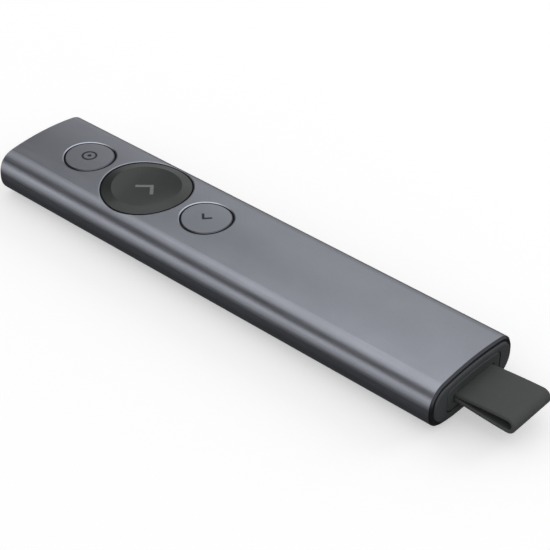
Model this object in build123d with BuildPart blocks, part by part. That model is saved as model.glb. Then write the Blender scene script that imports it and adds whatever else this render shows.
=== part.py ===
from build123d import *
from math import atan2, cos, degrees, pi, sin, sqrt
import os

# Slim presentation remote: an extruded aluminium sleeve, three round buttons on its crown, and a
# radio receiver with a rubber pull strap parked in its tail.
# Millimetres. +Y points to the nose, +X to the right, +Z up. The origin is the centre of the flat
# strip that the sleeve rests on.

# ---- Sleeve -------------------------------------------------------------------------------------
sleeve_length = 131.3
sleeve_width = 28.1
sleeve_height = 12.1
widest_height = 6.1       # height at which the sleeve is widest
rest_width = 7.5          # flat strip along the underside
crown_radius = 70.0       # the outline's arcs, each tangent to the next
side_radius = 30.0
belly_radius = 35.0
corner_spare = 1.2        # height left to the crown, and to the belly, beyond the corner arcs
sleeve_wall = 1.1
sleeve_end_break = 0.5    # chamfer round each end
hole_bevel_width = 0.35   # shallow bevel round each button hole
hole_bevel_depth = 0.15
slide_gap = 0.1           # between the sleeve and whatever slides into it

# ---- Buttons ------------------------------------------------------------------------------------
small_button_diameter = 11.9
next_button_diameter = 21.3
button_spacing = 2.75     # between neighbouring caps
button_gap = 0.3          # open ring round each cap
button_travel = 0.3
press_gap = 0.15          # still open below a cap and a switch's stem when they are pressed
cap_depth = 1.75          # underside of the caps below the crown
cap_break = 0.15
ring_rise = 0.25          # crest of the next button above the crown
ring_width = 2.3          # from the crest out to the cap's edge
ring_fall = 0.4           # from the crest down to the cap's edge
ring_overlap = 0.1        # ring carried in past the crest, so that the dish cuts it
dish_depth = 0.85         # from the crest down to the middle
dish_overcut = 1.2        # length of the barrel that cuts the dish against the dish's own
post_width = 2.8          # square post under each cap
post_clearance = 0.05     # on each side, between a post and its guide
hook_offset = 3.6         # from the cap's centre to the middle of a hook
hook_thickness = 1.0
hook_width = 2.4
hook_barb = 0.45
hook_barb_height = 0.6
hook_gap = 0.08           # between a barb and the carrier above it

# ---- Switches -----------------------------------------------------------------------------------
switch_size = 5.2
switch_height = 2.0
switch_stem_width = 2.2   # square plunger
switch_stem_height = 0.6  # stem above the switch
switch_stem_depth = 1.1   # stem inside the switch
switch_corner = 0.4

# ---- Button carrier -----------------------------------------------------------------------------
carrier_plate = 1.35      # underside of its plate below the caps
skirt_drop = 2.0          # lower edge of its side skirts below the plate
skirt_inset = 3.05        # inner face of the skirts inside the sleeve's side
carrier_margin = 1.3      # beyond the outermost button holes
recess_gap = 0.2          # recess beyond the hole in the sleeve
carrier_post_gap = 0.1    # between the skirts and the chassis posts that the screws go into
screw_seat_drop = 0.05    # screw heads' seats below the plate's underside
carrier_boss_drop = 1.0   # chassis posts' tops below the plate's underside

# ---- Screws (M1.6) ------------------------------------------------------------------------------
screw_diameter = 1.6
screw_hole_diameter = 1.8
screw_head_diameter = 2.8
screw_head_height = 0.7
screw_length = 2.3
screw_gap = 0.02          # radial, between a screw and what it threads into
boss_width = 3.2          # square posts that the screws go into
boss_clearance = 0.25     # board round a post that passes through it

# ---- Receiver -----------------------------------------------------------------------------------
receiver_width = 18.2
receiver_base = 3.2
receiver_roof = 2.6       # from its top up to the crown
receiver_drop = 0.65      # fall of its domed top from the middle to the side
receiver_corner = 1.5
receiver_length = 13.4    # moulded body, without the plug and the strap
receiver_wall = 0.8
receiver_front = 1.5      # wall that the strap passes through
collar_length = 1.6
face_proud = 0.5          # receiver's face and tail plate beyond the sleeve's end
plug_width = 12.0
plug_height = 4.5
plug_reach = 12.0         # plug beyond the receiver's body
plug_root_gap = 0.3       # tongue's inner end beyond the collar's lugs
plug_wall = 0.3
plug_corner = 0.6
plug_gap = 0.05           # between the plug and the collar round it
plug_window = (2.5, 2.0)
plug_window_x = 2.75
plug_window_from_tip = 6.2
tongue_gap = 0.1          # between the tongue and the shell's sides
tongue_height = 1.9
tongue_setback = 0.6
contact_xs = (-3.5, -1.0, 1.0, 3.5)
contact_width = 1.1
contact_height = 0.1
contact_length = 8.0
contact_setback = 0.5     # from the tongue's tip
receiver_edge = 0.25      # chamfer round the receiver's face
collar_spigot = 0.8       # collar's lugs inside the housing, one on each side of the plug
receiver_rail = 0.8       # rails that carry the receiver's board
receiver_board_thickness = 0.8
receiver_board_gap = 0.2  # on each side, between the board and the housing
anchor_gap = 0.3          # between the board and the strap's anchor
receiver_chip_size = (4.0, 3.6, 0.7)

# ---- Pull strap ---------------------------------------------------------------------------------
strap_width = 13.8
strap_thickness = 0.9
strap_drop = 0.35         # middle of the strap below the receiver's
strap_slot_gap = 0.1
anchor_height = 3.4
anchor_length = 2.6
strap_pin_diameter = 1.2
strap_pin_setback = 0.25  # pin's ends inside the housing's sides
# How far each round of the folded band lies beyond the receiver's face, and its inner radius
strap_rounds = ((-0.4, 0.04), (5.5, 0.28), (13.6, 0.4))

# ---- Tail plate and receiver bay ----------------------------------------------------------------
bay_clearance = 0.15      # round the receiver
bay_wall = 0.8
bay_spare = 4.9           # free length between the plug's tip and the charging port
bay_flange = 1.5
bay_bulkhead = 1.2
tail_plate_depth = 1.5    # inside the sleeve
plate_round = 0.5
dome_steps = 2
clip_thickness = 0.8
clip_width = 4.0
clip_barb = 0.4
clip_barb_length = 0.8
clip_gap = 0.1
tail_clip_gap = 0.65      # between a tail clip's barb and the sleeve's widest line
spring_thickness = 0.25
spring_width = 3.0
spring_length = 8.0
spring_setback = 6.2      # middle of the springs behind the bay's front flange
spring_window = 4.6
spring_bump = 4.0         # length of the bump that bears on the receiver
spring_tip_gap = 0.1      # between a spring and the receiver's side
spring_pocket_wall = 0.6
spring_slot_gap = 0.05

# ---- Charging port ------------------------------------------------------------------------------
port_width = 8.94
port_height = 3.26
port_depth = 7.35
port_wall = 0.3
port_back = 1.2
port_tongue_size = (6.7, 4.5, 0.7)
port_gap = 0.1            # round the port, in the bay's inner wall

# ---- Nose cap -----------------------------------------------------------------------------------
nose_cap_depth = 2.0      # inside the sleeve
nose_clip_x = 6.5
nose_clip_drop = 4.0      # middle of the clips below the crown

# ---- Chassis, board and what they carry ---------------------------------------------------------
tray_wall = 1.0
tray_height = 5.2
tray_bulkhead = 1.5       # wall across the chassis at its nose end
rib_thickness = 1.2
rib_count = 4
rib_inset = 6.0           # from the board's ends to the outermost ribs
board_inset = 3.7         # board's edges inside the sleeve's sides
board_thickness = 0.8
board_margin = 4.95       # from the pointer button's centre to the board's nose end
board_corner = 1.5
board_screw_inset = 5.45  # screws inside the sleeve's side
board_screw_margin = 4.05 # from the board's tail end to its first screw
board_screw_offset = 9.7  # from the next button's centre back to its second screw
battery_width = 15.0
battery_height = 3.8
battery_port_gap = 1.5
battery_carrier_gap = 0.6
battery_round = 1.2
battery_pad_thickness = 0.3
motor_diameter = 8.0
motor_height = 2.7
motor_end_gap = 0.55      # from the chassis bulkhead to the motor
motor_board_gap = 0.6     # from the motor to the board
motor_nest_wall = 0.8
motor_nest_height = 1.6
motor_seat = 0.2          # seat above the chassis floor
processor_size = (5.0, 5.0, 0.9)
motion_sensor_size = (3.0, 3.0, 0.9)
chip_x = 5.2              # from the middle out to the processor, and to the motion sensor
chip_setback = 11.4       # from the board's nose end to their middles
antenna_size = (6.4, 1.6, 1.0)
antenna_margin = 0.75     # from the board's side
antenna_setback = 0.8     # from the board's nose end
chip_break = 0.15


def meeting_point(first, first_reach, second, second_reach):
    """The point at these distances from two others, to the right of the way from first to second."""
    way = second - first
    along = (first_reach ** 2 - second_reach ** 2 + way.length ** 2) / (2 * way.length)
    beside = sqrt(first_reach ** 2 - along ** 2)
    ahead = way.normalized()
    return first + ahead * along + Vector(ahead.Y, -ahead.X) * beside


# ---- Places worked out from the sizes above -----------------------------------------------------
half_sleeve = sleeve_width / 2
shoulder_radius = sleeve_height - widest_height - corner_spare
heel_radius = widest_height - corner_spare
crown_middle = Vector(0, sleeve_height - crown_radius)
side_middle = Vector(half_sleeve - side_radius, widest_height)
belly_middle = Vector(rest_width / 2, belly_radius)
shoulder_middle = meeting_point(
    crown_middle, crown_radius - shoulder_radius, side_middle, side_radius - shoulder_radius
)
heel_middle = meeting_point(side_middle, side_radius - heel_radius, belly_middle, belly_radius - heel_radius)
crown_sweep = degrees(atan2(shoulder_middle.X, shoulder_middle.Y - crown_middle.Y))
side_rise = degrees(atan2(shoulder_middle.Y - widest_height, shoulder_middle.X - side_middle.X))
side_fall = degrees(atan2(widest_height - heel_middle.Y, heel_middle.X - side_middle.X))
belly_sweep = degrees(atan2(heel_middle.X - belly_middle.X, belly_radius - heel_middle.Y))
side_sweep = side_rise + side_fall
shoulder_sweep = 90 - crown_sweep - side_rise
heel_sweep = 90 - belly_sweep - side_fall

nose_y = sleeve_length / 2
tail_y = -sleeve_length / 2
insert_inset = sleeve_wall + slide_gap
chassis_nose_y = nose_y - nose_cap_depth
motor_y = chassis_nose_y - tray_bulkhead - motor_end_gap - motor_diameter / 2
board_nose_y = motor_y - motor_diameter / 2 - motor_board_gap
button_pitch = (next_button_diameter + small_button_diameter) / 2 + button_spacing
pointer_button_y = board_nose_y - board_margin
next_button_y = pointer_button_y - button_pitch
back_button_y = next_button_y - button_pitch
small_buttons = {"pointer": pointer_button_y, "back": back_button_y}
buttons = {
    "pointer": (pointer_button_y, small_button_diameter / 2),
    "next": (next_button_y, next_button_diameter / 2),
    "back": (back_button_y, small_button_diameter / 2),
}

face_y = tail_y - face_proud
receiver_nose_y = face_y + receiver_length
receiver_top = sleeve_height - receiver_roof
receiver_middle = (receiver_base + receiver_top) / 2
strap_height = receiver_middle - strap_drop
plug_tip_y = receiver_nose_y + plug_reach
plug_root = collar_length + collar_spigot + plug_root_gap
plug_root_y = receiver_nose_y - plug_root
collar_y = receiver_nose_y - collar_length
tongue_base_z = receiver_middle - plug_height / 2 + plug_wall
receiver_board_z = tongue_base_z + tongue_height - receiver_board_thickness
receiver_board_width = receiver_width - 2 * (receiver_wall + receiver_board_gap)
anchor_y = face_y + receiver_front + strap_slot_gap
receiver_board_length = plug_root_y - anchor_y - anchor_length - anchor_gap
port_mouth_y = plug_tip_y + bay_spare
bay_nose_y = port_mouth_y + bay_bulkhead
flange_tail_y = tail_y + tail_plate_depth
flange_nose_y = flange_tail_y + bay_flange

board_top = receiver_middle - port_height / 2
board_bottom = board_top - board_thickness
board_tail_y = bay_nose_y + slide_gap
board_width = sleeve_width - 2 * board_inset
board_length = board_nose_y - board_tail_y
board_middle_y = (board_nose_y + board_tail_y) / 2
switch_top = board_top + switch_height
stem_top = switch_top + switch_stem_height
chassis_length = chassis_nose_y - bay_nose_y

cap_base = sleeve_height - cap_depth
carrier_floor = cap_base - carrier_plate
carrier_skirt = carrier_floor - skirt_drop
carrier_screw_seat = carrier_floor - screw_seat_drop
carrier_boss_top = carrier_floor - carrier_boss_drop
carrier_length = 2 * (button_pitch + small_button_diameter / 2 + button_gap + recess_gap + carrier_margin)
carrier_screw_x = half_sleeve - skirt_inset - carrier_post_gap - boss_width / 2
carrier_screw_spots = [(-carrier_screw_x, pointer_button_y), (carrier_screw_x, back_button_y)]
board_screw_x = half_sleeve - board_screw_inset
board_screw_spots = [
    (-board_screw_x, board_tail_y + board_screw_margin),
    (board_screw_x, next_button_y - board_screw_offset),
]
battery_tail_y = port_mouth_y + port_depth + battery_port_gap
battery_length = next_button_y - carrier_length / 2 - battery_carrier_gap - battery_tail_y
battery_y = battery_tail_y + battery_length / 2

os.makedirs("parts", exist_ok=True)


def across(y):
    """The plane square to the remote's length at y, with +X to the right and +Z up."""
    return Plane.XZ.offset(-y)


def body_section(inset=0.0):
    """The sleeve's outline, drawn in by inset: tangent arcs from a flat strip up to the crown."""
    half_flat = rest_width / 2
    with BuildSketch() as outline:
        with BuildLine():
            Line((-half_flat, inset), (half_flat, inset))
            belly = JernArc((half_flat, inset), (1, 0), belly_radius - inset, belly_sweep)
            heel = JernArc(belly @ 1, belly % 1, heel_radius - inset, heel_sweep)
            flank = JernArc(heel @ 1, heel % 1, side_radius - inset, side_sweep)
            shoulder = JernArc(flank @ 1, flank % 1, shoulder_radius - inset, shoulder_sweep)
            crown = JernArc(shoulder @ 1, shoulder % 1, crown_radius - inset, crown_sweep)
            mirror([belly, heel, flank, shoulder, crown], about=Plane.YZ)
        make_face()
    return outline.sketch


def station(y, inset=0.0):
    """The sleeve's outline at y, drawn in by inset, as a face that looks towards the tail."""
    with BuildSketch(across(y)) as section:
        add(body_section(inset))
    return section.sketch.face()


def trim_to_section(inset):
    """Cut the part in hand back to the sleeve's outline, drawn in by inset."""
    extrude(station(sleeve_length, inset), amount=2 * sleeve_length, mode=Mode.INTERSECT)


def domed_plate(inner_y, end_y, outward):
    """A plate across the sleeve's mouth that swells out past the sleeve's end by face_proud."""
    sections = [station(inner_y, insert_inset)]
    for step in range(dome_steps + 1):
        turn = pi / 2 * step / dome_steps
        inset = insert_inset + plate_round * (1 - cos(turn))
        sections.append(station(end_y + outward * face_proud * sin(turn), inset))
    loft(sections, ruled=True)


def receiver_section(grow=0.0):
    """The receiver's outline, grown all round: a flat base, a domed top and round corners."""
    half_width = receiver_width / 2 + grow
    base = receiver_base - grow
    top = receiver_top + grow
    with BuildSketch() as outline:
        with BuildLine():
            ThreePointArc((-half_width, top - receiver_drop), (0, top), (half_width, top - receiver_drop))
            Polyline(
                (half_width, top - receiver_drop),
                (half_width, base),
                (-half_width, base),
                (-half_width, top - receiver_drop),
            )
        make_face()
        fillet(outline.vertices(), radius=receiver_corner + grow)
    return outline.sketch


def port_section(grow=0.0):
    """The charging port's outline, grown all round."""
    with Locations((0, receiver_middle)):
        SlotOverall(port_width + 2 * grow, port_height + 2 * grow)


def block(width, length, height, x, y, z, mode=Mode.ADD):
    """A box that stands on height z with its middle at x, y."""
    with Locations((x, y, z)):
        Box(width, length, height, align=(Align.CENTER, Align.CENTER, Align.MIN), mode=mode)


def round_block(radius, height, x, y, z, mode=Mode.ADD):
    """A cylinder that stands on height z with its axis at x, y."""
    with Locations((x, y, z)):
        Cylinder(radius, height, align=(Align.CENTER, Align.CENTER, Align.MIN), mode=mode)


# ---- Sleeve -------------------------------------------------------------------------------------
with BuildPart() as sleeve:
    extrude(station(nose_y - sleeve_end_break), amount=sleeve_length - 2 * sleeve_end_break)
    for side in (-1, 1):
        full_section = station(side * (sleeve_length / 2 - sleeve_end_break))
        loft([full_section, station(side * sleeve_length / 2, sleeve_end_break)], ruled=True)
    extrude(station(nose_y, sleeve_wall), amount=sleeve_length, mode=Mode.SUBTRACT)
    with BuildSketch(Plane.XY.offset(widest_height)):
        for button_y, radius in buttons.values():
            with Locations((0, button_y)):
                Circle(radius + button_gap)
    extrude(amount=sleeve_height, mode=Mode.SUBTRACT)
    hole_walls = sleeve.faces(Select.LAST).filter_by(lambda face: round(face.normal_at().Z) == 0)
    for wall in hole_walls:
        rims = wall.edges().filter_by(GeomType.LINE, reverse=True)
        crown_rims = rims.filter_by(lambda edge: edge.center().Z > sleeve_height - sleeve_wall)
        chamfer(crown_rims, length=hole_bevel_depth, length2=hole_bevel_width, reference=wall)
sleeve.part.label = "housing_sleeve"
export_step(sleeve.part, "parts/housing_sleeve.step")


# ---- Button caps --------------------------------------------------------------------------------
def add_post_and_hooks(y):
    """The guide post under a cap, and the two hooks that catch below the carrier."""
    block(post_width, post_width, cap_base - stem_top, 0, y, stem_top)
    barb_top = carrier_floor - hook_gap
    hook_bottom = barb_top - hook_barb_height
    for side in (-1, 1):
        block(hook_thickness, hook_width, cap_base - hook_bottom, side * hook_offset, y, hook_bottom)
        barb_x = side * (hook_offset + (hook_thickness + hook_barb) / 2)
        block(hook_barb, hook_width, hook_barb_height, barb_x, y, hook_bottom)


for name, button_y in small_buttons.items():
    with BuildPart() as small_cap:
        round_block(small_button_diameter / 2, sleeve_height, 0, button_y, cap_base)
        trim_to_section(0)
        chamfer(small_cap.edges().group_by(Axis.Z)[-1], length=cap_break)
        add_post_and_hooks(button_y)
    small_cap.part.label = f"{name}_cap"
    export_step(small_cap.part, f"parts/{name}_cap.step")

# The next button's dish is cut by a barrel that curves less across the remote, where the crown
# itself falls away, so that its rim is a circle.
dish_radius = next_button_diameter / 2 - ring_width
crest_z = sleeve_height + ring_rise
crest_radius = crown_radius + ring_rise
crest_fall = crest_radius - sqrt(crest_radius ** 2 - dish_radius ** 2)
lengthwise_radius = dish_radius ** 2 / (2 * dish_depth)
crosswise_radius = dish_radius ** 2 / (2 * (dish_depth - crest_fall))
dish_z = crest_z - dish_depth
barrel_reach = dish_overcut * dish_radius
barrel_edge_z = dish_z + barrel_reach ** 2 / (2 * lengthwise_radius)
barrel_axis_z = dish_z + crosswise_radius

next_cap_radius = next_button_diameter / 2
with BuildPart() as next_cap:
    round_block(next_cap_radius, sleeve_height, 0, next_button_y, cap_base)
    trim_to_section(-ring_rise)
    walls = next_cap.faces().filter_by(GeomType.CYLINDER)
    rounded_edges = next_cap.edges().filter_by(GeomType.LINE, reverse=True)
    chamfer(
        rounded_edges.filter_by(lambda edge: edge.center().Z > cap_base + cap_break),
        length=ring_fall,
        length2=ring_width + ring_overlap,
        reference=walls.sort_by(lambda face: abs(face.radius - next_cap_radius))[0],
    )
    with BuildSketch(Plane.YZ):
        with BuildLine():
            low_tail = (next_button_y - barrel_reach, barrel_edge_z)
            low_nose = (next_button_y + barrel_reach, barrel_edge_z)
            ThreePointArc(low_tail, (next_button_y, dish_z), low_nose)
            Polyline(
                low_nose,
                (next_button_y + barrel_reach, barrel_axis_z),
                (next_button_y - barrel_reach, barrel_axis_z),
                low_tail,
            )
        make_face()
    revolve(axis=Axis((0, next_button_y, barrel_axis_z), (0, 1, 0)), mode=Mode.SUBTRACT)
    add_post_and_hooks(next_button_y)
next_cap.part.label = "next_cap"
export_step(next_cap.part, "parts/next_cap.step")

# ---- Button carrier: guides the posts, holds the hooks and closes the sleeve below the caps -----
with BuildPart() as carrier:
    block(sleeve_width, carrier_length, sleeve_height, 0, next_button_y, carrier_skirt)
    hollow_height = carrier_floor - carrier_skirt
    block(
        sleeve_width - 2 * skirt_inset, carrier_length, hollow_height, 0, next_button_y, carrier_skirt,
        mode=Mode.SUBTRACT,
    )
    for x, y in carrier_screw_spots:
        block(boss_width, boss_width, carrier_floor - carrier_boss_top, x, y, carrier_boss_top)
    trim_to_section(insert_inset)
    recess_floor = cap_base - button_travel - press_gap
    for button_y, radius in buttons.values():
        recess_radius = radius + button_gap + recess_gap
        round_block(recess_radius, sleeve_height, 0, button_y, recess_floor, mode=Mode.SUBTRACT)
        guide_width = post_width + 2 * post_clearance
        block(guide_width, guide_width, sleeve_height, 0, button_y, carrier_skirt, mode=Mode.SUBTRACT)
        for side in (-1, 1):
            slot_width = hook_thickness + 2 * hook_gap
            slot_length = hook_width + 2 * hook_gap
            block(
                slot_width, slot_length, sleeve_height, side * hook_offset, button_y, carrier_skirt,
                mode=Mode.SUBTRACT,
            )
    for x, y in carrier_screw_spots:
        round_block(screw_hole_diameter / 2, sleeve_height, x, y, carrier_skirt, mode=Mode.SUBTRACT)
        head_radius = screw_head_diameter / 2 + slide_gap
        round_block(head_radius, sleeve_height, x, y, carrier_screw_seat, mode=Mode.SUBTRACT)
carrier.part.label = "button_carrier"
export_step(carrier.part, "parts/button_carrier.step")

# ---- Switches -----------------------------------------------------------------------------------
well_floor = switch_top - switch_stem_depth - button_travel - press_gap
for name, (button_y, _) in buttons.items():
    with BuildPart() as switch:
        block(switch_size, switch_size, switch_height, 0, button_y, board_top)
        chamfer(switch.edges().filter_by(Axis.Z), length=switch_corner)
        well_width = switch_stem_width + 2 * post_clearance
        block(well_width, well_width, switch_height, 0, button_y, well_floor, mode=Mode.SUBTRACT)
    switch.part.label = f"{name}_switch"
    export_step(switch.part, f"parts/{name}_switch.step")
    with BuildPart() as stem:
        stem_length = switch_stem_height + switch_stem_depth
        block(switch_stem_width, switch_stem_width, stem_length, 0, button_y, stem_top - stem_length)
    stem.part.label = f"{name}_switch_stem"
    export_step(stem.part, f"parts/{name}_switch_stem.step")

# ---- Chassis: the tray that carries the board, the motor and the carrier ------------------------
floor_top = insert_inset + tray_wall
rib_span = board_length - 2 * rib_inset - rib_thickness
rib_ys = [board_nose_y - rib_inset - rib_span * rib / (rib_count - 1) for rib in range(rib_count)]

with BuildPart() as chassis:
    with BuildSketch(*[across(y) for y in rib_ys]):
        add(body_section(insert_inset))
        with Locations((0, board_bottom / 2)):
            Rectangle(sleeve_width, board_bottom, mode=Mode.INTERSECT)
    extrude(amount=rib_thickness)
    for x, y in board_screw_spots:
        block(boss_width, boss_width, board_bottom, x, y, 0)
    for x, y in carrier_screw_spots:
        block(boss_width, boss_width, carrier_boss_top, x, y, 0)
    nest_radius = motor_diameter / 2 + slide_gap
    round_block(nest_radius + motor_nest_wall, floor_top + motor_nest_height, 0, motor_y, 0)
    trim_to_section(insert_inset + tray_wall / 2)
    with BuildSketch(across(chassis_nose_y)):
        add(body_section(insert_inset))
        add(body_section(floor_top), mode=Mode.SUBTRACT)
        with Locations((0, tray_height)):
            Rectangle(sleeve_width, sleeve_height, align=(Align.CENTER, Align.MIN), mode=Mode.SUBTRACT)
    extrude(amount=chassis_length)
    extrude(station(chassis_nose_y, insert_inset), amount=tray_bulkhead)
    round_block(nest_radius, sleeve_height, 0, motor_y, floor_top + motor_seat, mode=Mode.SUBTRACT)
    pilot_radius = screw_diameter / 2 + screw_gap
    pilot_depth = screw_length + slide_gap
    for x, y in board_screw_spots:
        pilot_z = board_top - pilot_depth
        round_block(pilot_radius, pilot_depth, x, y, pilot_z, mode=Mode.SUBTRACT)
    for x, y in carrier_screw_spots:
        pilot_z = carrier_screw_seat - pilot_depth
        round_block(pilot_radius, pilot_depth, x, y, pilot_z, mode=Mode.SUBTRACT)
    nose_clip_base = sleeve_height - nose_clip_drop - clip_thickness / 2
    for side in (-1, 1):
        block(
            clip_width + 2 * clip_gap,
            tray_bulkhead,
            clip_thickness + 2 * clip_gap,
            side * nose_clip_x,
            chassis_nose_y - tray_bulkhead / 2,
            nose_clip_base - clip_gap,
            mode=Mode.SUBTRACT,
        )
chassis.part.label = "chassis_tray"
export_step(chassis.part, "parts/chassis_tray.step")

# ---- Nose cap -----------------------------------------------------------------------------------
with BuildPart() as nose_cap:
    domed_plate(chassis_nose_y, nose_y, 1)
    barb_y = chassis_nose_y - tray_bulkhead - clip_gap - clip_barb_length / 2
    clip_tip_y = barb_y - clip_barb_length / 2
    clip_middle_y = (chassis_nose_y + clip_tip_y) / 2
    for side in (-1, 1):
        clip_x = side * nose_clip_x
        block(
            clip_width, chassis_nose_y - clip_tip_y, clip_thickness, clip_x, clip_middle_y, nose_clip_base
        )
        block(clip_width, clip_barb_length, clip_barb, clip_x, barb_y, nose_clip_base + clip_thickness)
nose_cap.part.label = "nose_cap"
export_step(nose_cap.part, "parts/nose_cap.step")

# ---- Tail plate ---------------------------------------------------------------------------------
tail_clip_x = half_sleeve - insert_inset - tail_clip_gap - clip_barb - clip_thickness / 2
with BuildPart() as tail_plate:
    domed_plate(flange_tail_y, tail_y, -1)
    with BuildSketch(across(flange_tail_y)):
        add(receiver_section(bay_clearance))
    extrude(amount=tail_plate_depth + face_proud, mode=Mode.SUBTRACT)
    barb_y = flange_nose_y + clip_gap + clip_barb_length / 2
    clip_tip_y = barb_y + clip_barb_length / 2
    clip_base = receiver_middle - clip_width / 2
    clip_middle_y = (flange_tail_y + clip_tip_y) / 2
    for side in (-1, 1):
        clip_x = side * tail_clip_x
        block(clip_thickness, clip_tip_y - flange_tail_y, clip_width, clip_x, clip_middle_y, clip_base)
        barb_x = side * (tail_clip_x + (clip_thickness + clip_barb) / 2)
        block(clip_barb, clip_barb_length, clip_width, barb_x, barb_y, clip_base)
tail_plate.part.label = "tail_plate"
export_step(tail_plate.part, "parts/tail_plate.step")

# ---- Receiver bay: the tunnel that the receiver parks in, with the charging port at its end -----
spring_y = flange_nose_y + spring_setback
bay_side = receiver_width / 2 + bay_clearance
spring_inner_x = bay_side + bay_wall + spring_slot_gap
spring_tip_x = receiver_width / 2 + spring_tip_gap
spring_base = receiver_middle - spring_width / 2
slot_thickness = spring_thickness + 2 * spring_slot_gap
pocket_thickness = slot_thickness + spring_pocket_wall
pocket_length = spring_length + 2 * spring_pocket_wall
pocket_base = spring_base - spring_slot_gap - spring_pocket_wall
clip_channel = bay_flange + clip_barb_length + 2 * clip_gap

with BuildPart() as bay:
    with BuildSketch(across(bay_nose_y)):
        add(receiver_section(bay_clearance + bay_wall))
    extrude(amount=bay_nose_y - flange_tail_y)
    extrude(station(flange_nose_y, insert_inset), amount=bay_flange)
    extrude(station(bay_nose_y, insert_inset), amount=bay_bulkhead)
    trim_to_section(insert_inset)
    for side in (-1, 1):
        pocket_x = side * (bay_side + bay_wall + pocket_thickness / 2)
        pocket_height = spring_width + spring_slot_gap + spring_pocket_wall
        block(pocket_thickness, pocket_length, pocket_height, pocket_x, spring_y, pocket_base)
        slot_x = side * (bay_side + bay_wall + slot_thickness / 2)
        block(
            slot_thickness,
            spring_length + 2 * spring_slot_gap,
            sleeve_height,
            slot_x,
            spring_y,
            spring_base - spring_slot_gap,
            mode=Mode.SUBTRACT,
        )
        block(
            bay_wall,
            spring_window,
            spring_width + 2 * clip_gap,
            side * (bay_side + bay_wall / 2),
            spring_y,
            spring_base - clip_gap,
            mode=Mode.SUBTRACT,
        )
        block(
            clip_thickness + 2 * clip_gap,
            clip_channel,
            clip_width + 2 * clip_gap,
            side * tail_clip_x,
            flange_tail_y + clip_channel / 2,
            receiver_middle - clip_width / 2 - clip_gap,
            mode=Mode.SUBTRACT,
        )
    with BuildSketch(across(port_mouth_y)):
        add(receiver_section(bay_clearance))
    extrude(amount=port_mouth_y - flange_tail_y, mode=Mode.SUBTRACT)
    with BuildSketch(across(bay_nose_y)):
        port_section(port_gap)
    extrude(amount=bay_bulkhead, mode=Mode.SUBTRACT)
bay.part.label = "receiver_bay"
export_step(bay.part, "parts/receiver_bay.step")

with BuildPart() as bay_springs:
    with BuildSketch(Plane.XY.offset(spring_base)):
        with BuildLine():
            inner_x = spring_inner_x
            outer_x = spring_inner_x + spring_thickness
            tail_end = spring_y - spring_length / 2
            nose_end = spring_y + spring_length / 2
            bump_tail = spring_y - spring_bump / 2
            bump_nose = spring_y + spring_bump / 2
            Line((inner_x, tail_end), (inner_x, bump_tail))
            ThreePointArc((inner_x, bump_tail), (spring_tip_x, spring_y), (inner_x, bump_nose))
            Polyline((inner_x, bump_nose), (inner_x, nose_end), (outer_x, nose_end), (outer_x, bump_nose))
            outer_tip_x = spring_tip_x + spring_thickness
            ThreePointArc((outer_x, bump_nose), (outer_tip_x, spring_y), (outer_x, bump_tail))
            Polyline((outer_x, bump_tail), (outer_x, tail_end), (inner_x, tail_end))
        make_face()
    extrude(amount=spring_width)
    mirror(about=Plane.YZ)
bay_springs.part.label = "bay_springs"
export_step(bay_springs.part, "parts/bay_springs.step")

# ---- Circuit board and what stands on it --------------------------------------------------------
with BuildPart() as board:
    with BuildSketch(Plane.XY.offset(board_bottom)):
        with Locations((0, board_middle_y)):
            RectangleRounded(board_width, board_length, board_corner)
        with Locations(*carrier_screw_spots):
            gap_width = boss_width + 2 * boss_clearance
            Rectangle(gap_width, gap_width, mode=Mode.SUBTRACT)
        with Locations(*board_screw_spots):
            Circle(screw_hole_diameter / 2, mode=Mode.SUBTRACT)
    extrude(amount=board_thickness)
board.part.label = "circuit_board"
export_step(board.part, "parts/circuit_board.step")

antenna_x = antenna_margin + antenna_size[0] / 2 - board_width / 2
antenna_y = board_nose_y - antenna_setback - antenna_size[1] / 2
chips = {
    "processor_chip": (processor_size, (-chip_x, board_nose_y - chip_setback)),
    "motion_sensor": (motion_sensor_size, (chip_x, board_nose_y - chip_setback)),
    "antenna_chip": (antenna_size, (antenna_x, antenna_y)),
}
for name, (size, place) in chips.items():
    with BuildPart() as chip:
        block(*size, *place, board_top)
        chamfer(chip.faces().sort_by(Axis.Z)[-1].edges(), length=chip_break)
    chip.part.label = name
    export_step(chip.part, f"parts/{name}.step")

with BuildPart() as battery_pad:
    pad_width = battery_width - 2 * battery_round
    pad_length = battery_length - 2 * battery_round
    block(pad_width, pad_length, battery_pad_thickness, 0, battery_y, board_top)
battery_pad.part.label = "battery_pad"
export_step(battery_pad.part, "parts/battery_pad.step")

with BuildPart() as battery:
    battery_base = board_top + battery_pad_thickness
    block(battery_width, battery_length, battery_height, 0, battery_y, battery_base)
    fillet(battery.edges().filter_by(Axis.Y), radius=battery_round)
battery.part.label = "battery_cell"
export_step(battery.part, "parts/battery_cell.step")

with BuildPart() as port:
    with BuildSketch(across(port_mouth_y + port_depth)):
        port_section()
    extrude(amount=port_depth)
    port_back_y = port_mouth_y + port_depth - port_back
    with BuildSketch(across(port_back_y)):
        port_section(-port_wall)
    extrude(amount=port_depth - port_back, mode=Mode.SUBTRACT)
port.part.label = "charging_port"
export_step(port.part, "parts/charging_port.step")

with BuildPart() as port_tongue:
    tongue_x, tongue_y, tongue_z = port_tongue_size
    tongue_base = receiver_middle - tongue_z / 2
    block(tongue_x, tongue_y, tongue_z, 0, port_back_y - tongue_y / 2, tongue_base)
port_tongue.part.label = "charging_port_tongue"
export_step(port_tongue.part, "parts/charging_port_tongue.step")

with BuildPart() as motor:
    motor_base = floor_top + motor_seat
    round_block(motor_diameter / 2, motor_height, 0, motor_y, motor_base)
    chamfer(motor.faces().sort_by(Axis.Z)[-1].edges(), length=chip_break)
motor.part.label = "vibration_motor"
export_step(motor.part, "parts/vibration_motor.step")

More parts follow.
